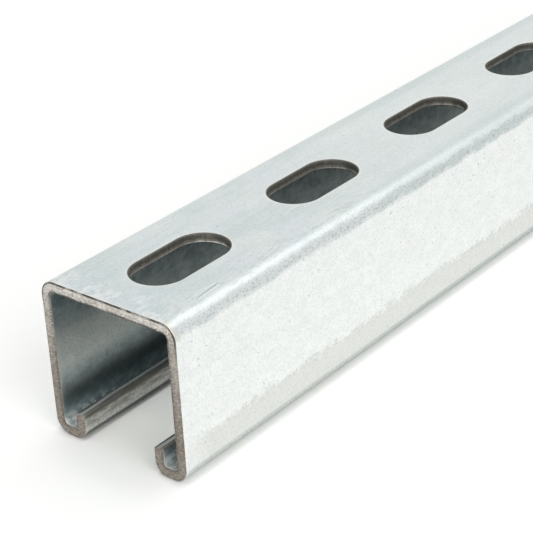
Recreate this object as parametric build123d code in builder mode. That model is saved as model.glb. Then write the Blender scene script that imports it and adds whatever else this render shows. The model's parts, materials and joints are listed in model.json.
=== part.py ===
from build123d import *
import os

# Slotted strut channel: one piece of steel strip, punched along its middle and then roll-formed.
# It lies as it rests on a floor, on its two lips, with the slotted back on top.
# The origin is on the floor, midway between the lips and midway along the length.
# X runs across the channel, Y along it and Z up from the lips to the back. Sizes are in millimetres.

# Stock
channel_length = 304.8
sheet_thickness = 2.66

# Outside of the rolled section
channel_width = 41.3
channel_height = 41.3

# Lips: each side wall turns in under the hollow, then up again as a short return
lip_groove_width = 4.2
return_height = 7.14

# Bends, as inside radii
wall_bend_radius = 1.4
return_bend_radius = 0.8
bend_angle = 90

# Slots punched through the back, with fully round ends
slot_width = 14.29
slot_length = 28.58
slot_pitch = 50.8
first_slot_distance = 25.4

# Edges: the strip's slit edge, the cut ends, and the slots' walls, where the punch draws the
# outer skin in, shears a straight land, and tears the rest of the sheet away with a slight flare
slit_edge_radius = 0.4
cut_edge_chamfer = 0.25
punch_draw_radius = 0.35
punch_flare = 0.2
punch_flare_depth = 1.2

# The outer skin bends one sheet thickness further out than the inner skin
wall_skin_radius = wall_bend_radius + sheet_thickness
return_skin_radius = return_bend_radius + sheet_thickness

# The mouth is what the two lips leave open
half_width = channel_width / 2
half_mouth = half_width - lip_groove_width - 2 * sheet_thickness

# As many whole slots as the length takes, counted from the first cut end
slot_count = 1 + int((channel_length - first_slot_distance - slot_length / 2) // slot_pitch)
first_slot_y = first_slot_distance - channel_length / 2
slot_places = [(0, first_slot_y + number * slot_pitch) for number in range(slot_count)]

with BuildPart() as strut_channel:
    # The section is drawn as the strip runs: one side's outer skin from the return's slit edge
    # to the middle of the back, then its mirror image, then the inner skin one thickness in
    with BuildSketch(Plane.XZ.offset(-channel_length / 2)):
        with BuildLine() as section:
            return_face = Line((half_mouth, return_height), (half_mouth, return_skin_radius))
            return_bend = JernArc(return_face @ 1, return_face % 1, return_skin_radius, bend_angle)
            lip = Line(return_bend @ 1, (half_width - wall_skin_radius, 0))
            lip_bend = JernArc(lip @ 1, lip % 1, wall_skin_radius, bend_angle)
            side_wall = Line(lip_bend @ 1, (half_width, channel_height - wall_skin_radius))
            back_bend = JernArc(side_wall @ 1, side_wall % 1, wall_skin_radius, bend_angle)
            half_back = Line(back_bend @ 1, (0, channel_height))
            mirror(about=Plane.YZ)
            offset(section.line, amount=sheet_thickness, side=Side.LEFT)
        make_face()
    extrude(amount=channel_length)

    # The slit edges are the only level faces between the lips' inner skin and the back
    level_faces = strut_channel.faces().filter_by(Axis.Z)
    slit_faces = level_faces.group_by(Axis.Z)[2]
    fillet(slit_faces.edges().filter_by(Axis.Y), radius=slit_edge_radius)

    # The slots are punched from the outer skin
    with BuildSketch(Plane.XY.offset(channel_height)):
        with Locations(*slot_places):
            SlotOverall(slot_length, slot_width, rotation=90)
    extrude(amount=-sheet_thickness, mode=Mode.SUBTRACT)
    back_inside = strut_channel.faces().filter_by(Axis.Z).sort_by(Axis.Z)[-2]
    flare_edges = back_inside.inner_wires().edges()
    chamfer(flare_edges, length=punch_flare, length2=punch_flare_depth, reference=back_inside)
    back_outside = strut_channel.faces().sort_by(Axis.Z)[-1]
    fillet(back_outside.inner_wires().edges(), radius=punch_draw_radius)

    # The ends are cut square and their edges are broken
    cut_faces = strut_channel.faces().filter_by(Axis.Y).sort_by(Axis.Y)
    chamfer(cut_faces[0].edges() + cut_faces[-1].edges(), length=cut_edge_chamfer)

strut_channel.part.label = "strut_channel"
os.makedirs("parts", exist_ok=True)
export_step(strut_channel.part, "parts/strut_channel.step")
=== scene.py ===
import json
import math

import bmesh
import bpy
import numpy as np
from mathutils import Matrix, Vector, noise


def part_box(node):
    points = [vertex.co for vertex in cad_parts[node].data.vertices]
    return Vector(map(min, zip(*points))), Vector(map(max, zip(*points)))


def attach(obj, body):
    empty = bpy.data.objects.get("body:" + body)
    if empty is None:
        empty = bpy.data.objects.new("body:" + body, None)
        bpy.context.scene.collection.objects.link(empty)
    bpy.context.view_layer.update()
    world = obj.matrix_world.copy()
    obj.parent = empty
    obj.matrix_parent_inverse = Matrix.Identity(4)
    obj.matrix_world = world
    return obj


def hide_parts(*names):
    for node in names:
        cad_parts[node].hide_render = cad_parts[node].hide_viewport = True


# Slotted strut channel, lying on its lips with the slotted back on top. All lengths are in metres.
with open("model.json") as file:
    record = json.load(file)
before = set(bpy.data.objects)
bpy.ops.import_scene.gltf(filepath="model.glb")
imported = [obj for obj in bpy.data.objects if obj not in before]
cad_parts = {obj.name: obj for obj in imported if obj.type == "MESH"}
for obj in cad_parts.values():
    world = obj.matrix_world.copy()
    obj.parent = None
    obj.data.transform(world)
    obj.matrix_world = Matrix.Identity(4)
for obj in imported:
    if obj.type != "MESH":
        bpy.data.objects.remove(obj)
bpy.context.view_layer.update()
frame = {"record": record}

NODE = "strut_channel"
low_corner, high_corner = (Vector(corner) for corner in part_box(NODE))
size = high_corner - low_corner
half_width, half_length, height = size.x / 2, size.y / 2, size.z

# The rolled section, as in the part's source
SHEET = 0.00266
GROOVE_WIDTH = 0.0042
RETURN_HEIGHT = 0.00714
WALL_SKIN_RADIUS = 0.0014 + SHEET
RETURN_SKIN_RADIUS = 0.0008 + SHEET
SLIT_EDGE_RADIUS = 0.0004
PUNCH_DRAW_RADIUS = 0.00035
PUNCH_FLARE = 0.0002
PUNCH_FLARE_DEPTH = 0.0012
CUT_EDGE = 0.00025
half_mouth = half_width - GROOVE_WIDTH - 2 * SHEET

# The slots, from the record: each slot mount is a pair of slots along the length
slot_mounts = [mount for mount in frame["record"]["mounts"] if mount["kind"] == "bolt_pattern"]
slot_dims = slot_mounts[0]["dims"]
slot_pitch = slot_dims["spacing_y_mm"] / 1000
slot_radius = slot_dims["hole_r_mm"] / 1000
slot_straight = slot_dims["slot_length_mm"] / 2000 - slot_radius
slot_centres = sorted(
    mount["pos_m"][1] + side * slot_pitch / 2 for mount in slot_mounts for side in (-1, 1)
)

# Mesh steps
BEND_STEPS = 10
SIDE_STEPS = 22
LIP_STEPS = 3
RETURN_STEPS = 4
EDGE_STEPS = 4
TIP_STEPS = 3
MARGIN_STEPS = 3         # on the back, between a bend and the slots' panel
PANEL_HALF_WIDTH = 0.0112
PANEL_CROSS_STEPS = 14
PANEL_LONG_STEPS = 30
PANEL_RINGS = 4
SLOT_OUTER_OFFSETS = (PUNCH_DRAW_RADIUS, 0.0006, 0.0011, 0.002)
SLOT_INNER_OFFSETS = (PUNCH_FLARE, 0.0004, 0.0009, 0.002)
END_BAND = 0.002
EDGE_FADE = 0.0006
END_STATIONS = (0.002, 0.0013, 0.0008, 0.0005)
THICKNESS_STEPS = 6

# Surfaces, as material slots of the mesh
ZINC, CUT, PUNCHED = 0, 1, 2

# How uneven the steel is, and how long each kind of unevenness is along x, y and z
SAW_DEPTH = 0.00005
SAW_SIZES = (0.0012, 1, 0.0012)
BURR = 0.00006
BURR_SIZES = (0.002, 1, 0.002)
TEAR_DEPTH = 0.00005
TEAR_SIZES = (0.0006, 0.0006, 0.0004)
TEAR_START = 0.5         # of the way through the sheet
WAVE_HEIGHT = 0.00003
WAVE_SIZES = (0.018, 0.055, 0.018)
WAVE_FADE = 0.004        # from a cut end

# A scratch on the back, slanting across it near the first slot
SCRATCH_START = 0.012    # from the end
SCRATCH_LENGTH = 0.0095
SCRATCH_X = 0.0157
SCRATCH_WAVER = 0.0006
SCRATCH_SLANT = -0.09
SCRATCH_GLINT = 0.0006   # the bright line lies this far beside it

# The camera: what its middle looks at, from where, and through which lens
VIEW_AZIMUTH = math.radians(40.256)
VIEW_ELEVATION = math.radians(27.542)
VIEW_ROLL = math.radians(-3.110)
VIEW_DISTANCE = 0.39014
VIEW_TARGET = Vector((0.01939, -half_length + 0.03336, height))
LENS_MM = 115.07


# ---- the section ---------------------------------------------------------------------------------


class Station:
    """A place along the strip's outline in the section: where it is, which way it faces, and its marks."""

    def __init__(self, point, normal, bend=0.0, inside=0.0, panel=False, slit=0.0):
        self.point, self.normal, self.bend = point, normal, bend
        self.inside, self.panel, self.slit = inside, panel, slit

    def mirrored(self):
        flip = Vector((-1, 1))
        return Station(self.point * flip, self.normal * flip, self.bend, self.inside, self.panel, self.slit)

    def through(self):
        """The station straight through the sheet, on the inner skin."""
        return Station(self.point - self.normal * SHEET, -self.normal, self.bend, 1.0, self.panel)


def straight(start, end, normal, steps, from_start=False, **marks):
    return [
        Station(start.lerp(end, step / steps), normal, **marks)
        for step in range(0 if from_start else 1, steps + 1)
    ]


def quarter_turn(steps):
    """Angles of a quarter turn, from 0 to a right angle."""
    return [step / steps * math.pi / 2 for step in range(steps + 1)]


def around(centre, radius, angle, **marks):
    normal = Vector((math.cos(angle), math.sin(angle)))
    return Station(centre + normal * radius, normal, **marks)


def turn(centre, radius, start_angle):
    """A quarter turn, anticlockwise. Its bend mark is 1 in the middle and 0 at the ends."""
    return [
        around(centre, radius, start_angle + angle, bend=max(0.0, math.sin(2 * angle)))
        for angle in quarter_turn(BEND_STEPS)[1:]
    ]


def half_skin():
    """The right half's outer skin, from the return's slit edge to the slots' panel, as (x, z) stations."""
    into_mouth, down, outward, up = Vector((-1, 0)), Vector((0, -1)), Vector((1, 0)), Vector((0, 1))
    wall_middle = half_width - WALL_SKIN_RADIUS
    return_middle = half_mouth + RETURN_SKIN_RADIUS
    back_middle = height - WALL_SKIN_RADIUS
    return_top = Vector((half_mouth, RETURN_HEIGHT - SLIT_EDGE_RADIUS))
    return_foot = Vector((half_mouth, RETURN_SKIN_RADIUS))
    side_foot = Vector((half_width, WALL_SKIN_RADIUS))
    side_top = Vector((half_width, back_middle))
    return (
        straight(return_top, return_foot, into_mouth, RETURN_STEPS, from_start=True)
        + turn(Vector((return_middle, RETURN_SKIN_RADIUS)), RETURN_SKIN_RADIUS, math.pi)
        + straight(Vector((return_middle, 0)), Vector((wall_middle, 0)), down, LIP_STEPS)
        + turn(Vector((wall_middle, WALL_SKIN_RADIUS)), WALL_SKIN_RADIUS, 1.5 * math.pi)
        + straight(side_foot, side_top, outward, SIDE_STEPS)
        + turn(Vector((wall_middle, back_middle)), WALL_SKIN_RADIUS, 0.0)
        + straight(Vector((wall_middle, height)), Vector((PANEL_HALF_WIDTH, height)), up, MARGIN_STEPS)
    )


def panel_skin():
    """The outer skin across the slots' panel, between its two sides."""
    start, end = Vector((PANEL_HALF_WIDTH, height)), Vector((-PANEL_HALF_WIDTH, height))
    return straight(start, end, Vector((0, 1)), PANEL_CROSS_STEPS, panel=True)[:-1]


def slit_edge():
    """Round the top of the right return, from its inner skin to its outer skin, without their ends.

    The slit mark is 0 on the skins. Between them it runs from 0.1 by the outer skin to 0.9 by the inner one.
    """
    centre_z = RETURN_HEIGHT - SLIT_EDGE_RADIUS
    inner_centre = Vector((half_mouth + SHEET - SLIT_EDGE_RADIUS, centre_z))
    outer_centre = Vector((half_mouth + SLIT_EDGE_RADIUS, centre_z))
    angles = quarter_turn(EDGE_STEPS)
    rise = [around(inner_centre, SLIT_EDGE_RADIUS, angle) for angle in angles[1:]]
    fall = [around(outer_centre, SLIT_EDGE_RADIUS, math.pi / 2 + angle) for angle in angles[:-1]]
    flat = straight(rise[-1].point, fall[0].point, Vector((0, 1)), TIP_STEPS)[:-1]
    tip = rise + flat + fall
    for station in tip:
        station.slit = 0.1 + 0.8 * (station.point.x - half_mouth) / SHEET
    return tip


half = half_skin()
outer_skin = half + panel_skin() + [station.mirrored() for station in reversed(half)]
inner_skin = [station.through() for station in outer_skin]
right_tip = slit_edge()
left_tip = [station.mirrored() for station in reversed(right_tip)]
outline = outer_skin + left_tip + list(reversed(inner_skin)) + right_tip


# ---- the mesh ------------------------------------------------------------------------------------

MARKS = ("bend", "inside", "depth", "edge", "slit")


class Steel:
    """The channel's surface. A point added twice gives the same vertex, so all its parts are joined."""

    GRID = 1e-7

    def __init__(self):
        self.points, self.marks, self.faces, self.surfaces, self.known = [], [], [], [], {}

    def vertex(self, point, bend=0.0, inside=0.0, depth=0.0, edge=0.0, slit=0.0):
        key = tuple(round(value / self.GRID) for value in point)
        if key not in self.known:
            self.known[key] = len(self.points)
            self.points.append(tuple(point))
            self.marks.append((bend, inside, depth, edge, slit))
        return self.known[key]

    def face(self, corners, surface):
        self.faces.append(corners)
        self.surfaces.append(surface)

    def strip(self, first, second, surface, closed=False):
        """Quads between two rows of vertices."""
        for place in range(len(first) if closed else len(first) - 1):
            after = (place + 1) % len(first)
            self.face((first[place], first[after], second[after], second[place]), surface)


steel = Steel()


def outline_ring(y, inset=0.0, edge=0.0, with_panel=True):
    """The whole outline at one place along the channel, drawn in by an inset."""
    ring = []
    for station in outline:
        if station.panel and not with_panel:
            ring.append(None)
            continue
        point = station.point - station.normal * inset
        marks = (station.bend, station.inside, 0.0, edge, station.slit)
        ring.append(steel.vertex((point.x, y, point.y), *marks))
    return ring


def sweep(first, second):
    """The skins and slit edges between two rings."""
    for place, station in enumerate(outline):
        after = (place + 1) % len(outline)
        if None in (first[place], first[after], second[place], second[after]):
            continue
        steel.face((first[place], first[after], second[after], second[place]), ZINC)


def cell_bounds():
    """Where each slot's panel starts and ends along the channel."""
    middles = [(a + b) / 2 for a, b in zip(slot_centres, slot_centres[1:])]
    edges = [-half_length + END_BAND] + middles + [half_length - END_BAND]
    return list(zip(edges, edges[1:]))


def panel_border(start, end):
    """Round one slot's panel, anticlockwise from above."""
    across, along = PANEL_CROSS_STEPS, PANEL_LONG_STEPS
    wide = [PANEL_HALF_WIDTH * (1 - 2 * step / across) for step in range(across)]
    there = [start + (end - start) * step / along for step in range(along)]
    back = [end - (end - start) * step / along for step in range(along)]
    return (
        [(PANEL_HALF_WIDTH, y) for y in there]
        + [(x, end) for x in wide]
        + [(-PANEL_HALF_WIDTH, y) for y in back]
        + [(-x, start) for x in wide]
    )


class Slot:
    """One slot, its wall and the panel round it. A ring's points lie square out from the slot's wall."""

    def __init__(self, centre, start, end):
        self.border = panel_border(start, end)
        held = [min(max(y, centre - slot_straight), centre + slot_straight) for x, y in self.border]
        self.spine = [Vector((0, y)) for y in held]
        self.away = [Vector((x, y - middle)).normalized() for (x, y), middle in zip(self.border, held)]

    def ring(self, offset, z, share=0.0, **marks):
        """Points this far out from the slot's wall, or a share of the way on to the panel's border."""
        row = []
        for middle, way, corner in zip(self.spine, self.away, self.border):
            place = (middle + way * (slot_radius + offset)).lerp(Vector(corner), share)
            row.append(steel.vertex((place.x, place.y, z), **marks))
        return row

    def skin(self, z, offsets, inside):
        """The panel on one skin. Returns its edge at the slot."""
        rings = [
            self.ring(offset, z, inside=inside, edge=math.exp(-(offset - offsets[0]) / EDGE_FADE))
            for offset in offsets
        ]
        for step in range(1, PANEL_RINGS + 1):
            rings.append(self.ring(offsets[-1], z, step / PANEL_RINGS, inside=inside))
        for first, second in zip(rings, rings[1:]):
            steel.strip(first, second, ZINC, closed=True)
        return rings[0]

    def wall(self, outer_edge, inner_edge):
        """From the drawn-in outer edge, down the sheared land and the torn flare, to the inner edge."""
        rows = [outer_edge]
        for angle in quarter_turn(EDGE_STEPS)[1:]:
            drop = PUNCH_DRAW_RADIUS * (1 - math.cos(angle))
            offset = PUNCH_DRAW_RADIUS * (1 - math.sin(angle))
            rows.append(self.ring(offset, height - drop, depth=drop / SHEET, edge=1.0))
        land_top = height - PUNCH_DRAW_RADIUS
        land_foot = height - SHEET + PUNCH_FLARE_DEPTH
        for share in (1 / 3, 2 / 3, 1):
            z = land_top + (land_foot - land_top) * share
            rows.append(self.ring(0.0, z, depth=(height - z) / SHEET))
        for share in (0.25, 0.5, 0.75):
            z = land_foot - PUNCH_FLARE_DEPTH * share
            rows.append(self.ring(PUNCH_FLARE * share, z, depth=(height - z) / SHEET))
        rows.append(inner_edge)
        for first, second in zip(rows, rows[1:]):
            steel.strip(first, second, PUNCHED, closed=True)

    def build(self):
        outer_edge = self.skin(height, SLOT_OUTER_OFFSETS, 0.0)
        inner_edge = self.skin(height - SHEET, SLOT_INNER_OFFSETS, 1.0)
        self.wall(outer_edge, inner_edge)


def cut_end(side):
    """The last stretch before a cut end, its broken edges and its sawn face."""
    rings = [
        outline_ring(side * (half_length - back), edge=math.exp(-(back - CUT_EDGE) / EDGE_FADE))
        for back in END_STATIONS
    ]
    for angle in quarter_turn(EDGE_STEPS):
        back = CUT_EDGE * (1 - math.sin(angle))
        rings.append(outline_ring(side * (half_length - back), CUT_EDGE * (1 - math.cos(angle)), 1.0))
    for place, (first, second) in enumerate(zip(rings, rings[1:])):
        if place < len(END_STATIONS) + 1:
            sweep(first, second)
        else:
            steel.strip(first, second, CUT, closed=True)
    cut_face(side * half_length, rings[-1])


def cut_face(y, ring):
    """The sawn face: rows through the sheet's thickness, and the rounded tips of the two returns.

    Here the inside mark is the share of the way from the outer skin to the inner one.
    """
    rows = []
    for outer, inner in zip(outer_skin, inner_skin):
        start = outer.point - outer.normal * CUT_EDGE
        end = inner.point - inner.normal * CUT_EDGE
        places = [start.lerp(end, step / THICKNESS_STEPS) for step in range(THICKNESS_STEPS + 1)]
        rows.append([
            steel.vertex((place.x, y, place.y), outer.bend, step / THICKNESS_STEPS)
            for step, place in enumerate(places)
        ])
    for first, second in zip(rows, rows[1:]):
        steel.strip(first, second, CUT)
    count = len(outer_skin)
    left = ring[count : count + len(left_tip)]
    right = ring[-len(right_tip) :]
    steel.face([rows[-1][0]] + left + rows[-1][:0:-1], CUT)
    steel.face(rows[0] + right, CUT)


def build_steel():
    for centre, (start, end) in zip(slot_centres, cell_bounds()):
        places = [start + (end - start) * step / PANEL_LONG_STEPS for step in range(PANEL_LONG_STEPS + 1)]
        rings = [outline_ring(y, with_panel=False) for y in places]
        for first, second in zip(rings, rings[1:]):
            sweep(first, second)
        Slot(centre, start, end).build()
    for side in (-1, 1):
        cut_end(side)


build_steel()


def wobble(point, sizes, seed):
    """Smooth noise from -1 to 1, with its features this long along x, y and z."""
    place = Vector(value / length for value, length in zip(point, sizes))
    return noise.noise(place + Vector((seed, 2.3 * seed, -1.7 * seed)))


def uneven_point(point, normal, marks):
    """Where a point lies on the real steel: a sawn end, torn slot walls and a skin that isn't quite flat."""
    depth = marks[MARKS.index("depth")]
    moved = Vector(point)
    end_distance = half_length - abs(point.y)
    if end_distance < 1.5 * CUT_EDGE:
        saw = SAW_DEPTH * (1 + wobble(point, SAW_SIZES, 3)) / 2
        moved.y -= math.copysign(saw, point.y)
        return moved + normal * Vector((1, 0, 1)) * BURR * wobble(point, BURR_SIZES, 5)
    if depth > 0.0:
        tear = max(0.0, depth - TEAR_START) * TEAR_DEPTH
        return moved - normal * tear * (1 + wobble(point, TEAR_SIZES, 7))
    wave = WAVE_HEIGHT * wobble(point, WAVE_SIZES, 11)
    return moved + normal * wave * min(1.0, end_distance / WAVE_FADE)


mesh = bpy.data.meshes.new("channel_steel")
mesh.from_pydata(steel.points, [], steel.faces)
mesh.polygons.foreach_set("material_index", steel.surfaces)
for column, name in enumerate(MARKS):
    attribute = mesh.attributes.new(name, "FLOAT", "POINT")
    attribute.data.foreach_set("value", np.array(steel.marks)[:, column].astype(np.float32))

shape = bmesh.new()
shape.from_mesh(mesh)
bmesh.ops.recalc_face_normals(shape, faces=shape.faces)
shape.to_mesh(mesh)
shape.free()
normals = [vertex.normal.copy() for vertex in mesh.vertices]
for vertex, normal, marks in zip(mesh.vertices, normals, steel.marks):
    vertex.co = uneven_point(vertex.co.copy(), normal, marks)
mesh.polygons.foreach_set("use_smooth", [True] * len(mesh.polygons))
mesh.update()

piece = bpy.data.objects.new("channel_steel", mesh)
bpy.context.scene.collection.objects.link(piece)
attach(piece, "root")
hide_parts(NODE)


# ---- materials -----------------------------------------------------------------------------------


class Recipe:
    """A material's nodes. A value given to a node is a number, a colour or another node's output."""

    def __init__(self, name):
        self.material = bpy.data.materials.new(name)
        self.material.use_nodes = True
        self.tree = self.material.node_tree
        self.tree.nodes.clear()
        self.place = self.node("ShaderNodeTexCoord").outputs["Object"]
        axes = self.node("ShaderNodeSeparateXYZ", Vector=self.place).outputs
        self.x, self.y, self.z = axes["X"], axes["Y"], axes["Z"]

    def node(self, kind, settings=None, **inputs):
        made = self.tree.nodes.new(kind)
        for name, value in (settings or {}).items():
            setattr(made, name, value)
        for name, value in inputs.items():
            self.feed(made.inputs[name.replace("_", " ")], value)
        return made

    def feed(self, socket, value):
        if isinstance(value, bpy.types.NodeSocket):
            self.tree.links.new(value, socket)
        else:
            socket.default_value = value

    def mark(self, name):
        return self.node("ShaderNodeAttribute", {"attribute_name": name}).outputs["Fac"]

    def spot(self, sizes, seed):
        """The place, scaled so that one unit is this long along x, y and z."""
        scaled = self.node("ShaderNodeVectorMath", {"operation": "DIVIDE"})
        self.feed(scaled.inputs[0], self.place)
        self.feed(scaled.inputs[1], sizes)
        moved = self.node("ShaderNodeVectorMath", {"operation": "ADD"})
        self.feed(moved.inputs[0], scaled.outputs[0])
        self.feed(moved.inputs[1], (seed, seed * 1.7, seed * 2.9))
        return moved.outputs[0]

    def cloud(self, sizes, seed, detail=3.0, roughness=0.5):
        settings = dict(Vector=self.spot(sizes, seed), Scale=1.0, Detail=detail, Roughness=roughness)
        return self.node("ShaderNodeTexNoise", **settings).outputs["Fac"]

    def specks(self, size, seed, low, high):
        """Irregular specks of this size. Fewer of them the higher the two limits are."""
        return self.level(self.cloud((size, size * 1.3, size), seed, detail=1.0), low, high)

    def number(self, operation, first, second=0.0):
        made = self.node("ShaderNodeMath", {"operation": operation})
        self.feed(made.inputs[0], first)
        self.feed(made.inputs[1], second)
        return made.outputs[0]

    def times(self, first, *others):
        """All the values multiplied."""
        for other in others:
            first = self.number("MULTIPLY", first, other)
        return first

    def most(self, first, second):
        return self.number("MAXIMUM", first, second)

    def gap(self, value, middle):
        """How far the value is from the middle, either way."""
        return self.number("ABSOLUTE", self.number("SUBTRACT", value, middle))

    def level(self, value, low, high, start=0.0, end=1.0):
        """The value from low to high, carried smoothly to start to end."""
        settings = {"interpolation_type": "SMOOTHSTEP"}
        made = self.node("ShaderNodeMapRange", settings, Value=value)
        for name, limit in (("From Min", low), ("From Max", high), ("To Min", start), ("To Max", end)):
            self.feed(made.inputs[name], limit)
        return made.outputs["Result"]

    def blend(self, share, first, second):
        """From the first colour to the second."""
        made = self.node("ShaderNodeMix", {"data_type": "RGBA"})
        self.feed(made.inputs[0], share)
        self.feed(made.inputs[6], (*first, 1.0) if isinstance(first, tuple) else first)
        self.feed(made.inputs[7], (*second, 1.0) if isinstance(second, tuple) else second)
        return made.outputs[2]

    def surface(self, shader):
        """The finished material, showing this shader."""
        output = self.node("ShaderNodeOutputMaterial")
        self.feed(output.inputs["Surface"], shader.outputs[0])
        return self.material

    def steel(self, colour, roughness, metallic, relief, relief_depth):
        """The finished material of a metal surface."""
        bump = self.node("ShaderNodeBump", Height=relief, Strength=1.0, Distance=relief_depth)
        shader = self.node("ShaderNodeBsdfPrincipled", Roughness=roughness, Metallic=metallic)
        self.feed(shader.inputs["Base Color"], colour)
        self.feed(shader.inputs["Normal"], bump.outputs[0])
        return self.surface(shader)


# Colours of the zinc skin
BACK_DULL, BACK_FRESH = (0.60, 0.670, 0.665), (0.695, 0.745, 0.73)
BACK_STREAK = (0.82, 0.845, 0.84)
BACK_SMUDGE = (0.50, 0.555, 0.57)
BACK_TINT = (0.70, 0.74, 0.775)
BACK_CLEAN = (0.78, 0.82, 0.80)
BACK_HANDLED = (0.54, 0.62, 0.635)
BACK_FLAKE = (0.85, 0.87, 0.86)
BACK_SCUFF = (0.42, 0.49, 0.51)
# Painted shade on the back beside the bends
BACK_SHADE_BY_BEND = (0.50, 0.59, 0.59)
# The sides are paler than the back, partly for white bloom on the zinc and partly as painted light, for they
# face the right lamp
FLANK_GREY, FLANK_WHITE = (0.785, 0.812, 0.806), (0.832, 0.848, 0.842)
FLANK_PATCH = (0.81, 0.812, 0.79)
FOOT_BAND, FOOT_RUBBED = (0.70, 0.705, 0.68), (0.50, 0.505, 0.48)
# The inside is darker than the outside, partly as painted shade
INNER_DARK, INNER_PALE = (0.285, 0.36, 0.375), (0.46, 0.535, 0.55)
BLOT_DARK, BLOT_PALE = (0.16, 0.20, 0.21), (0.62, 0.66, 0.65)
# A painted pool of light on the inner walls
INNER_LIT_PATCH = (0.74, 0.76, 0.725)
GRAIN_SHADE = (0.30, 0.33, 0.33)
SPECK = (0.24, 0.255, 0.25)
# Dull patches on the bends, and painted shade along them away from the ends
BEND_DULL_AND_SHADE = (0.44, 0.52, 0.525)
# The painted shade along the bends, and the real wear and pits in it
BEND_BAND_SHADE, BEND_WORN, BEND_PIT = (0.44, 0.49, 0.50), (0.32, 0.395, 0.39), (0.22, 0.24, 0.26)
SMEAR_DARK, SMEAR_PALE = (0.25, 0.235, 0.20), (0.56, 0.57, 0.545)
# On the returns' faces the low colour is a painted highlight, the top one painted shade and the foot one a
# painted shadow
FACE_LOW_HIGHLIGHT, FACE_GRAIN = (0.72, 0.73, 0.71), (0.15, 0.14, 0.12)
FACE_TOP_SHADE, FACE_FOOT_SHADOW = (0.14, 0.135, 0.12), (0.045, 0.045, 0.042)
GROOVE_WALL_DARK = (0.19, 0.21, 0.215)
CRUMB = (0.84, 0.87, 0.85)
TIP_DARK, TIP_PALE = (0.24, 0.225, 0.195), (0.36, 0.35, 0.32)
# Painted highlight along the slit edges
TIP_HIGHLIGHT = (0.95, 0.96, 0.93)
# Pale rim, partly a painted highlight
RIM_PALE_AND_HIGHLIGHT = (0.86, 0.84, 0.78)
# Painted shade in a fold near the sawn ends
CREASE_SHADE = (0.36, 0.37, 0.36)
CHIP = (0.62, 0.59, 0.53)
SCRATCHED, SCRATCH_BRIGHT = (0.30, 0.34, 0.36), (0.90, 0.93, 0.94)


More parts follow.
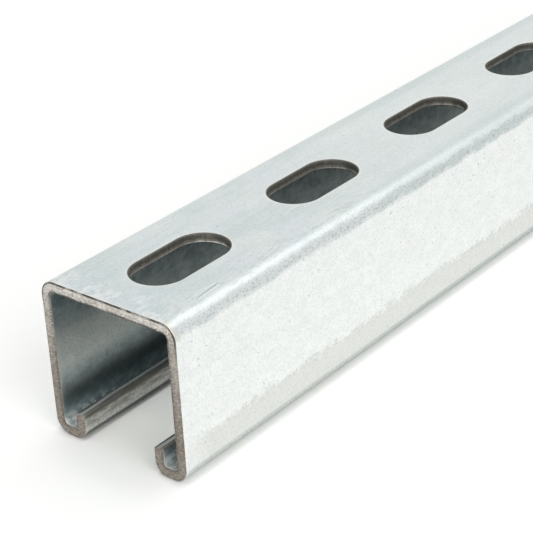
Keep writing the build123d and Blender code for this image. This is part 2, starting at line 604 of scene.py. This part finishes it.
class ZincRecipe(Recipe):
    """The zinc skin: the marks and textures that its parts share, and what each part looks like."""

    def __init__(self):
        super().__init__("zinc_coated_steel")
        self.inside, self.bend = self.mark("inside"), self.mark("bend")
        self.edge, self.slit = self.mark("edge"), self.mark("slit")
        self.outside = self.number("SUBTRACT", 1.0, self.inside)
        self.across = self.number("ABSOLUTE", self.x)
        self.end = self.number("SUBTRACT", half_length, self.number("ABSOLUTE", self.y))
        # 1 away from the cut ends: the back is cleaner there, and the bends and the back beside them get
        #                           painted shade there
        self.far_from_ends = self.level(self.end, 0.055, 0.105)
        self.side = self.level(self.across, half_width - 0.0030, half_width - 0.0003)
        self.patches = self.cloud((0.009, 0.026, 0.009), 1)
        self.mottle = self.cloud((0.0035, 0.0055, 0.0035), 6, detail=3.0, roughness=0.6)
        self.streaks = self.cloud((0.0008, 0.016, 0.0008), 2, detail=4.0, roughness=0.65)
        self.grain = self.cloud((0.0005, 0.0007, 0.0005), 3, detail=4.0, roughness=0.7)
        self.smears = self.cloud((0.0010, 0.0050, 0.0010), 7, detail=4.0, roughness=0.70)

    def near_end(self, reach, full, low=0.0, high=1.0):
        """Low beyond the reach from a cut end, and high from the full distance on."""
        return self.level(self.end, reach, full, low, high)

    def back(self):
        """The back: streaked and smudged, cleaner far from the ends, handled and flaked near them, with
        painted shade beside the bends away from the ends.
        """
        colour = self.blend(self.level(self.patches, 0.35, 0.65), BACK_DULL, BACK_FRESH)
        colour = self.blend(self.level(self.streaks, 0.40, 0.72, 0.0, 0.40), colour, BACK_STREAK)
        colour = self.blend(self.level(self.mottle, 0.55, 0.75, 0.0, 0.30), colour, BACK_SMUDGE)
        tint = self.cloud((0.007, 0.012, 0.007), 15, detail=3.0, roughness=0.6)
        tinted = self.times(self.level(tint, 0.48, 0.64), self.level(self.far_from_ends, 0, 1, 0.6, 0.3))
        colour = self.blend(tinted, colour, BACK_TINT)
        colour = self.blend(self.times(self.far_from_ends, 0.45), colour, BACK_CLEAN)
        handled = self.times(self.near_end(0.030, 0.006, 0.0, 0.4), self.level(self.across, 0.016, 0.010))
        colour = self.blend(handled, colour, BACK_HANDLED)
        flakes = self.cloud((0.0018, 0.0030, 0.0018), 16, detail=4.0, roughness=0.65)
        flakes = self.times(self.level(flakes, 0.47, 0.58), self.near_end(0.013, 0.002, 0.0, 0.55))
        colour = self.blend(flakes, colour, BACK_FLAKE)
        scuffs = self.cloud((0.0007, 0.0040, 0.0007), 18, detail=4.0, roughness=0.7)
        scuffs = self.times(
            self.level(scuffs, 0.53, 0.62, 0.0, 0.5),
            self.level(self.x, 0.0115, 0.0155),
            self.level(self.far_from_ends, 0, 1, 1.0, 0.3),
            self.level(self.patches, 0.40, 0.55, 0.3, 1.0),
        )
        colour = self.blend(scuffs, colour, BACK_SCUFF)
        # Painted shade: the back darker beside the bends away from the ends, for the darker reflection there
        shade_beside_bend = self.times(self.level(self.across, 0.0125, 0.0160), self.times(self.far_from_ends, 0.32))
        return self.blend(shade_beside_bend, colour, BACK_SHADE_BY_BEND)

    def flank(self):
        """The sides: nearly white, partly for white bloom on the zinc and partly as painted light where they
        face the right lamp, with a ragged darker band along the foot that is rubbed at its top.
        """
        colour = self.blend(self.level(self.mottle, 0.35, 0.65), FLANK_GREY, FLANK_WHITE)
        colour = self.blend(self.level(self.patches, 0.5, 0.7, 0.0, 0.5), colour, FLANK_PATCH)
        ragged = self.cloud((0.0009, 0.0013, 0.0009), 17, detail=4.0, roughness=0.7)
        band_z = self.number("ADD", self.z, self.level(self.mottle, 0.3, 0.7, 0.0, 0.0016))
        band_z = self.number("ADD", band_z, self.level(ragged, 0.3, 0.7, -0.0008, 0.0008))
        band = self.times(self.level(band_z, 0.0124, 0.0096), self.level(self.end, 0.001, 0.010, 0.3, 1.0))
        colour = self.blend(band, colour, FOOT_BAND)
        rubbed = self.times(
            self.level(self.gap(band_z, 0.0106), 0.0015, 0.0002),
            self.level(ragged, 0.60, 0.40, 0.0, 0.38),
            self.level(self.end, 0.004, 0.012),
        )
        return self.blend(rubbed, colour, FOOT_RUBBED)

    def inner(self):
        """The inner skin: dull and blotched, darker than the outer skin partly as painted shade, with a
        painted pool of light halfway up the walls near the cut ends.
        """
        colour = self.blend(self.level(self.mottle, 0.38, 0.62), INNER_DARK, INNER_PALE)
        blots = self.cloud((0.0015, 0.0019, 0.0015), 12, detail=4.0, roughness=0.7)
        colour = self.blend(self.level(blots, 0.54, 0.64, 0.0, 0.5), colour, BLOT_DARK)
        colour = self.blend(self.level(blots, 0.45, 0.34, 0.0, 0.4), colour, BLOT_PALE)
        # Painted light: a pale patch halfway up the inner walls near the cut ends, where light comes in
        middle = self.times(
            self.level(self.z, 0.031, 0.024),
            self.level(self.z, 0.013, 0.019),
            self.near_end(0.045, 0.016, 0.15, 0.90),
            self.level(self.mottle, 0.62, 0.36, 0.55, 1.0),
        )
        return self.blend(middle, colour, INNER_LIT_PATCH)

    def dark_specks(self):
        """Fine specks, mostly on the sides and inside, and a few coarse ones everywhere."""
        often = self.most(self.level(self.side, 0, 1, 0.10, 0.17), self.times(self.inside, 0.55))
        fine = self.times(self.specks(0.0005, 4, 0.60, 0.72), often)
        coarse = self.times(self.specks(0.0010, 5, 0.74, 0.78), self.level(self.inside, 0, 1, 0.5, 0.2))
        return self.most(fine, coarse)

    def bends(self, colour):
        """The sides' bends: dulled where they curve, with a strip of each darkened as painted shade for the
        darker reflection there, worn and pitted, and darker still away from the ends.
        """
        curved = self.times(self.level(self.bend, 0.05, 0.4), self.side, self.outside)
        drop = self.number("SUBTRACT", height, self.z)
        drop = self.number("ADD", drop, self.level(self.mottle, 0.3, 0.7, -0.0006, 0.0006))
        # Painted shade: upper and lower are strips of the top and foot bends made darker, for the darker
        # reflection there. The wear and pits in them are real
        upper = self.times(self.level(drop, 0.0005, 0.0014), self.level(drop, 0.0041, 0.0025))
        lower = self.times(self.level(self.z, 0.0043, 0.0037), self.level(self.z, 0.0014, 0.0024))
        shaded_band = self.times(curved, self.most(upper, lower))
        dulled = self.times(curved, self.level(self.grain, 0.36, 0.56, 0.30, 0.0))
        colour = self.blend(dulled, colour, BEND_DULL_AND_SHADE)
        colour = self.blend(self.times(shaded_band, 0.14), colour, BEND_BAND_SHADE)
        # Painted shade: the strips darker still away from the cut ends
        colour = self.blend(self.times(shaded_band, self.far_from_ends, 0.30), colour, BEND_DULL_AND_SHADE)
        worn = self.times(shaded_band, self.level(self.grain, 0.44, 0.58, 0.0, 0.48))
        colour = self.blend(worn, colour, BEND_WORN)
        pitted = self.times(shaded_band, self.specks(0.0005, 9, 0.54, 0.66), 0.40)
        return self.blend(pitted, colour, BEND_PIT)

    def returns(self, colour):
        """The returns' faces to the mouth: stained in long smears, with a painted highlight low down,
        painted shade along the top and a painted shadow along the foot.
        """
        mouth = self.times(
            self.level(self.across, half_mouth + SHEET, half_mouth + 0.6 * SHEET),
            self.outside,
            self.level(self.z, RETURN_HEIGHT + 0.001, RETURN_HEIGHT),
        )
        face = self.blend(self.level(self.smears, 0.36, 0.64), SMEAR_DARK, SMEAR_PALE)
        # Painted highlight low on the face, painted shade along its top and a painted shadow along its foot
        face = self.blend(self.level(self.z, 0.0046, 0.0032, 0.0, 0.6), face, FACE_LOW_HIGHLIGHT)
        face = self.blend(self.level(self.grain, 0.36, 0.58, 0.45, 0.0), face, FACE_GRAIN)
        face = self.blend(self.level(self.z, 0.0056, 0.0064), face, FACE_TOP_SHADE)
        face = self.blend(self.level(self.z, 0.0028, 0.0019), face, FACE_FOOT_SHADOW)
        return self.blend(self.times(mouth, 0.95), colour, face)

    def grooves(self, colour):
        """The inner skin by the lip grooves: walls darker low down, and pale crumbs along the bottom."""
        darker_low = self.times(
            self.inside, self.level(self.z, 0.017, 0.009, 0.0, 0.72), self.level(self.z, 0.004, 0.010)
        )
        colour = self.blend(darker_low, colour, GROOVE_WALL_DARK)
        crumbs = self.level(self.cloud((0.0013, 0.0020, 0.0013), 10, detail=3.0), 0.48, 0.53)
        crumbs = self.times(crumbs, self.near_end(0.030, 0.010, 0.2, 1.0))
        crumbs = self.most(crumbs, self.near_end(0.0065, 0.0020, 0.0, 0.40))
        crumbs = self.times(crumbs, self.inside, self.level(self.z, 0.006, 0.0035))
        return self.blend(crumbs, colour, CRUMB)

    def slit_edges(self, colour):
        """The returns' slit edges: smeared bare steel with a painted highlight, a bright wavering line along
        the middle.
        """
        waver = self.level(self.cloud((1, 0.04, 1), 8), 0.3, 0.7, -0.14, 0.14)
        line = self.gap(self.number("ADD", waver, self.slit), 0.48)
        tip = self.blend(self.level(self.smears, 0.3, 0.7), TIP_DARK, TIP_PALE)
        # Painted highlight: a bright line along the middle of the rounded tip
        tip = self.blend(self.level(line, 0.07, 0.20, 1.0, 0.0), tip, TIP_HIGHLIGHT)
        return self.blend(self.level(self.slit, 0.02, 0.10), colour, tip)

    def edges(self, colour):
        """A pale rim at the cut ends and slots, partly zinc rolled over the edge and partly a painted
        highlight; a fold line as painted shade, and chips, where the top bends are sawn.
        """
        # The pale rim is partly rolled-over zinc and partly a painted highlight
        rim = self.times(self.edge, self.level(self.mottle, 0.35, 0.6, 0.3, 1.0), 0.5)
        colour = self.blend(rim, colour, RIM_PALE_AND_HIGHLIGHT)
        end = self.number("ADD", self.end, self.level(self.mottle, 0.3, 0.7, -0.0004, 0.0004))
        corner = self.times(
            self.level(self.bend, 0.0, 0.3), self.outside, self.level(self.z, height - 0.006, height - 0.004)
        )
        # Painted shade: a grey line where the zinc folds near the sawn end
        crease_shade = self.level(self.gap(end, 0.0017), 0.0001, 0.0004, 0.5, 0.0)
        crease_shade = self.times(crease_shade, self.level(self.patches, 0.4, 0.6, 0.2, 1.0), corner)
        colour = self.blend(crease_shade, colour, CREASE_SHADE)
        chips = self.times(
            self.level(end, 0.0018, 0.0010), corner, self.level(self.grain, 0.35, 0.6, 0.35, 0.85)
        )
        return self.blend(chips, colour, CHIP)

    def scratch(self, colour):
        """One long scratch on the back, with a bright line beside it."""
        past = self.number("ADD", self.y, half_length - SCRATCH_START)
        waver = self.level(self.patches, 0.3, 0.7, SCRATCH_X, SCRATCH_X + SCRATCH_WAVER)
        off = self.number("SUBTRACT", self.x, self.number("ADD", self.times(past, SCRATCH_SLANT), waver))
        length = self.times(
            self.level(past, 0.0, 0.002),
            self.level(past, SCRATCH_LENGTH, 0.8 * SCRATCH_LENGTH),
            self.level(self.z, height - 0.001, height - 0.0004),
        )
        line = self.times(self.level(self.gap(off, 0.0), 0.0001, 0.00032, 0.68, 0.0), length)
        colour = self.blend(line, colour, SCRATCHED)
        glint = self.times(self.level(self.gap(off, SCRATCH_GLINT), 0.0001, 0.0004, 0.35, 0.0), length)
        return self.blend(glint, colour, SCRATCH_BRIGHT)

    def roughness(self):
        """Streaked outside, even inside, smoother at the bends, and crusted along the lip grooves."""
        lowest = self.level(self.inside, 0, 1, 0.34, 0.39)
        highest = self.level(self.inside, 0, 1, 0.44, 0.39)
        smoother = self.number("ADD", self.times(self.bend, 0.06), self.times(self.inside, 0.08))
        rough = self.number("SUBTRACT", self.level(self.streaks, 0.3, 0.7, lowest, highest), smoother)
        crusted = self.times(self.inside, self.level(self.z, 0.0080, 0.0050, 0.0, 0.30))
        return self.number("ADD", rough, crusted)

    def relief(self, dark):
        """Grain everywhere, streaks outside, and the dark specks as pits."""
        drawn = self.times(self.streaks, self.level(self.inside, 0, 1, 0.4, 0.0))
        return self.number("SUBTRACT", self.number("ADD", self.times(self.grain, 0.6), drawn), dark)


def zinc_material():
    """Rolled zinc: smudged on the back, speckled on the sides, burnished at the bends, dull inside, with
    painted light and shade on the sides, the bends, the returns, the slit edges, the rims and the inside.
    """
    zinc = ZincRecipe()
    colour = zinc.blend(zinc.side, zinc.back(), zinc.flank())
    colour = zinc.blend(zinc.inside, colour, zinc.inner())
    colour = zinc.blend(zinc.level(zinc.grain, 0.30, 0.60, 0.22, 0.0), colour, GRAIN_SHADE)
    dark = zinc.dark_specks()
    colour = zinc.blend(dark, colour, SPECK)
    # Each adds wear and marks; the bends, returns, slit edges and rims also add painted light and shade
    for worn in (zinc.bends, zinc.returns, zinc.grooves, zinc.slit_edges, zinc.edges, zinc.scratch):
        colour = worn(colour)
    return zinc.steel(colour, zinc.roughness(), 0.82, zinc.relief(dark), 0.00002)


# Colours of the sawn ends
SAWN_LIP, SAWN_LIP_LOW = (0.28, 0.25, 0.217), (0.34, 0.31, 0.27)
SAWN_PALE = (0.86, 0.842, 0.785)
SAWN_PATCH, SAWN_LINE = (0.36, 0.30, 0.24), (0.24, 0.20, 0.16)
SAWN_PIT, SAWN_GLINT = (0.15, 0.12, 0.095), (0.82, 0.79, 0.72)
RUST = (0.22, 0.075, 0.045)
SAWN_SHADE, SAWN_TORN = (0.19, 0.165, 0.14), (0.13, 0.11, 0.09)
# A burred edge, and painted shade beside it
BURR_DARK_AND_SHADE = (0.055, 0.048, 0.042)


def cut_material():
    """The sawn ends: bare steel gone brown, lightest along the back, with a dark burred rim round the
    outside that is partly painted shade.
    """
    sawn = Recipe("sawn_steel")
    edge, through = sawn.mark("edge"), sawn.mark("inside")
    grain = sawn.cloud((0.00085, 0.0004, 0.00034), 11, detail=3.0, roughness=0.75)
    patches = sawn.cloud((0.004, 0.004, 0.004), 12)
    saw = sawn.cloud((0.006, 0.006, 0.00035), 14, detail=2.0)

    back = sawn.times(sawn.level(sawn.z, height - 0.0060, height - 0.0020), 0.95)
    left = sawn.level(sawn.level(sawn.x, 0.016, -0.016), 0, 1, 0.75, 1.0)
    pale = sawn.most(back, sawn.times(left, sawn.level(sawn.z, 0.009, height, 0.0, 0.75)))
    colour = sawn.blend(sawn.level(sawn.z, 0.010, 0.005), SAWN_LIP, SAWN_LIP_LOW)
    colour = sawn.blend(pale, colour, SAWN_PALE)
    colour = sawn.blend(sawn.level(patches, 0.42, 0.66, 0.0, 0.35), colour, SAWN_PATCH)
    colour = sawn.blend(sawn.level(saw, 0.35, 0.65, 0.20, 0.0), colour, SAWN_LINE)
    pits = sawn.times(sawn.level(grain, 0.38, 0.56, 1.0, 0.0), sawn.level(pale, 0, 1, 0.75, 0.5))
    colour = sawn.blend(pits, colour, SAWN_PIT)
    colour = sawn.blend(sawn.level(grain, 0.56, 0.68, 0.0, 0.45), colour, SAWN_GLINT)
    rust = sawn.level(sawn.cloud((0.0011, 0.0011, 0.0011), 13, detail=1.0), 0.70, 0.75, 0.0, 0.7)
    colour = sawn.blend(rust, colour, RUST)

    shade = sawn.times(
        sawn.level(through, 0.15, 0.95),
        sawn.level(sawn.z, height, 0.0, 0.1, 0.55),
        sawn.level(sawn.z, 0.004, 0.010, 0.5, 1.0),
    )
    colour = sawn.blend(shade, colour, SAWN_SHADE)
    torn = sawn.times(sawn.level(through, 0.72, 0.96), sawn.level(grain, 0.58, 0.46, 0.0, 0.8))
    colour = sawn.blend(torn, colour, SAWN_TORN)
    # Dark line round the outside, partly a burred edge and partly painted shade beside it
    burr_and_shade = sawn.times(
        sawn.most(edge, sawn.level(through, 0.18, 0.02)),
        sawn.level(patches, 0.35, 0.55, 0.45, 1.0),
        sawn.level(sawn.z, height - 0.009, height - 0.003, 0.25, 1.0),
    )
    colour = sawn.blend(burr_and_shade, colour, BURR_DARK_AND_SHADE)
    relief = sawn.number("ADD", grain, sawn.times(saw, 0.5))
    return sawn.steel(colour, 0.55, 0.35, relief, 0.00008)


# Colours of the slots' walls
LAND_DARK, TORN_PALE = (0.112, 0.11, 0.096), (0.295, 0.285, 0.247)
DRAG_LINE, PUNCH_GRAIN = (0.42, 0.39, 0.34), (0.10, 0.09, 0.075)
DRAWN_EDGE = (0.13, 0.125, 0.11)
# Pale torn rim with a painted highlight
TORN_RIM_HIGHLIGHT = (0.97, 0.955, 0.90)


def punched_material():
    """The slots' walls: a dark burnished band at the top, a paler torn band below and a bright lower rim
    that carries a painted highlight.
    """
    wall = Recipe("punched_steel")
    depth = wall.mark("depth")
    grain = wall.cloud((0.0004, 0.0004, 0.0003), 21, detail=3.0, roughness=0.7)
    drag = wall.cloud((0.0006, 0.0006, 0.003), 22)
    waver = wall.level(wall.cloud((0.0015, 0.0015, 1), 23), 0.3, 0.7, -0.08, 0.08)
    ragged_depth = wall.number("ADD", depth, waver)
    colour = wall.blend(wall.level(ragged_depth, 0.50, 0.62), LAND_DARK, TORN_PALE)
    colour = wall.blend(wall.level(drag, 0.45, 0.7, 0.0, 0.22), colour, DRAG_LINE)
    colour = wall.blend(wall.level(grain, 0.35, 0.65, 0.5, 0.0), colour, PUNCH_GRAIN)
    colour = wall.blend(wall.level(depth, 0.02, 0.14, 0.80, 0.0), colour, DRAWN_EDGE)

    # The rim is pale torn steel with a painted highlight, brightest round the slots' ends: pitches is the
    # place counted in pitches, 0.5 at a slot
    pitches = wall.number("DIVIDE", wall.number("ADD", wall.y, 3 * slot_pitch), slot_pitch)
    from_middle = wall.times(wall.gap(wall.number("FRACT", pitches), 0.5), slot_pitch)
    round_from = slot_straight + 0.3 * slot_radius
    round_to = slot_straight + 0.8 * slot_radius
    rim = wall.times(
        wall.level(ragged_depth, 0.74, 0.82),
        wall.level(from_middle, round_from, round_to, 0.35, 1.0),
        wall.level(wall.cloud((0.02, 0.02, 0.02), 24), 0.35, 0.6, 0.35, 1.0),
    )
    colour = wall.blend(rim, colour, TORN_RIM_HIGHLIGHT)
    return wall.steel(colour, 0.5, 0.5, grain, 0.00006)


for material in (zinc_material(), cut_material(), punched_material()):
    mesh.materials.append(material)


# ---- the studio ----------------------------------------------------------------------------------


def background_rays(tree):
    """1 for what the camera sees, and for what metal shows of it."""
    path = tree.nodes.new("ShaderNodeLightPath").outputs
    total = path["Is Camera Ray"]
    for name in ("Is Glossy Ray", "Is Transmission Ray"):
        both = tree.nodes.new("ShaderNodeMath")
        both.operation = "MAXIMUM"
        tree.links.new(total, both.inputs[0])
        tree.links.new(path[name], both.inputs[1])
        total = both.outputs[0]
    return total


FLOOR_REACH = 4.0
FLOOR_GAP = 0.00003      # below the channel, so that the two surfaces don't coincide
FLOOR_GLOW = 0.34
GLOW_COLOUR = (0.985, 0.997, 0.98, 1.0)
FLOOR_COLOUR, FLOOR_WARM_SHADE = (0.82, 0.827, 0.812), (0.83, 0.832, 0.762)
ENTRY_GLOW = 0.77        # of the full glow, where the floor runs in under a cut end: a painted shadow there
ENTRY_REACH = 0.018
CONTACT_INSIDE, CONTACT_OUTSIDE = 0.0013, 0.0025


def table_material():
    """A white table, a little warmer under the channel, as painted shade.

    Its own glow fades close to the channel, so the shadow stays, and where it runs in under the cut ends,
    which paints a shadow there.
    """
    table = Recipe("white_table")
    across, along = table.number("ABSOLUTE", table.x), table.number("ABSOLUTE", table.y)
    under = table.level(across, half_width + 0.003, 0.3 * half_width)
    # Painted shade: the table warmer in colour under the channel
    warm_shade = table.times(under, table.level(along, half_length + 0.008, half_length - 0.014))
    # Painted shadow: the glow dims where the table runs in under a cut end
    entry_shadow = table.times(under, table.level(table.gap(along, half_length - 0.001), ENTRY_REACH, 0.003))
    openness = table.node("ShaderNodeAmbientOcclusion")
    contact = table.level(across, half_mouth, half_width, CONTACT_INSIDE, CONTACT_OUTSIDE)
    table.feed(openness.inputs["Distance"], contact)
    glow = table.times(
        background_rays(table.tree),
        table.number("POWER", openness.outputs["AO"], 2.0),
        FLOOR_GLOW,
        table.level(entry_shadow, 0.0, 1.0, 1.0, ENTRY_GLOW),
    )
    shader = table.node("ShaderNodeBsdfPrincipled", Roughness=0.9)
    table.feed(shader.inputs["Base Color"], table.blend(warm_shade, FLOOR_COLOUR, FLOOR_WARM_SHADE))
    table.feed(shader.inputs["Specular IOR Level"], 0.1)
    table.feed(shader.inputs["Emission Color"], GLOW_COLOUR)
    table.feed(shader.inputs["Emission Strength"], glow)
    return table.surface(shader)


floor_mesh = bpy.data.meshes.new("floor")
corners = [(x * FLOOR_REACH, y * FLOOR_REACH, -FLOOR_GAP) for x, y in ((-1, -1), (1, -1), (1, 1), (-1, 1))]
floor_mesh.from_pydata(corners, [], [(0, 1, 2, 3)])
floor_mesh.materials.append(table_material())
floor = bpy.data.objects.new("floor", floor_mesh)
bpy.context.scene.collection.objects.link(floor)

AMBIENT = 0.55           # what the world lights with. The camera and the metal see it as plain white
world = bpy.data.worlds.new("studio")
bpy.context.scene.world = world
world.use_nodes = True
world_tree = world.node_tree
strength = world_tree.nodes.new("ShaderNodeMapRange")
strength.inputs["To Min"].default_value = AMBIENT
strength.inputs["To Max"].default_value = 1.0
world_tree.links.new(background_rays(world_tree), strength.inputs["Value"])
backdrop = world_tree.nodes["Background"]
backdrop.inputs["Color"].default_value = (1.0, 1.0, 1.0, 1.0)
world_tree.links.new(strength.outputs["Result"], backdrop.inputs["Strength"])


def soft_lamp(name, direction, distance, width, power):
    """A square lamp in this direction from the channel, aimed at it."""
    lamp = bpy.data.lights.new(name, "AREA")
    lamp.shape = "SQUARE"
    lamp.size = width
    lamp.energy = power
    placed = bpy.data.objects.new(name, lamp)
    placed.location = Vector(direction).normalized() * distance
    placed.rotation_euler = Vector(direction).to_track_quat("Z", "Y").to_euler()
    bpy.context.scene.collection.objects.link(placed)


# The back lamp is what the near top bend's bright line shows
soft_lamp("lamp_back", direction=(0.06, 0.44, 0.88), distance=1.5, width=1.0, power=2.2)
soft_lamp("lamp_right", direction=(0.75, -0.25, 0.60), distance=1.8, width=1.2, power=15.2)
soft_lamp("lamp_front", direction=(0.28, -0.90, 0.16), distance=1.8, width=0.6, power=3.0)

camera = bpy.data.cameras.new("camera")
camera.sensor_width = 36.0
camera.lens = LENS_MM
level_view = Vector((-math.sin(VIEW_AZIMUTH), math.cos(VIEW_AZIMUTH), 0))
forward = level_view * math.cos(VIEW_ELEVATION) - Vector((0, 0, math.sin(VIEW_ELEVATION)))
level_right = forward.cross(Vector((0, 0, 1))).normalized()
right = Matrix.Rotation(-VIEW_ROLL, 3, forward) @ level_right
up = right.cross(forward)
eye = VIEW_TARGET - forward * VIEW_DISTANCE
viewer = bpy.data.objects.new("camera", camera)
viewer.matrix_world = Matrix.Translation(eye) @ Matrix((right, up, -forward)).transposed().to_4x4()
bpy.context.scene.collection.objects.link(viewer)
bpy.context.scene.camera = viewer
bpy.context.scene.view_settings.view_transform = "Standard"

bpy.context.view_layer.update()
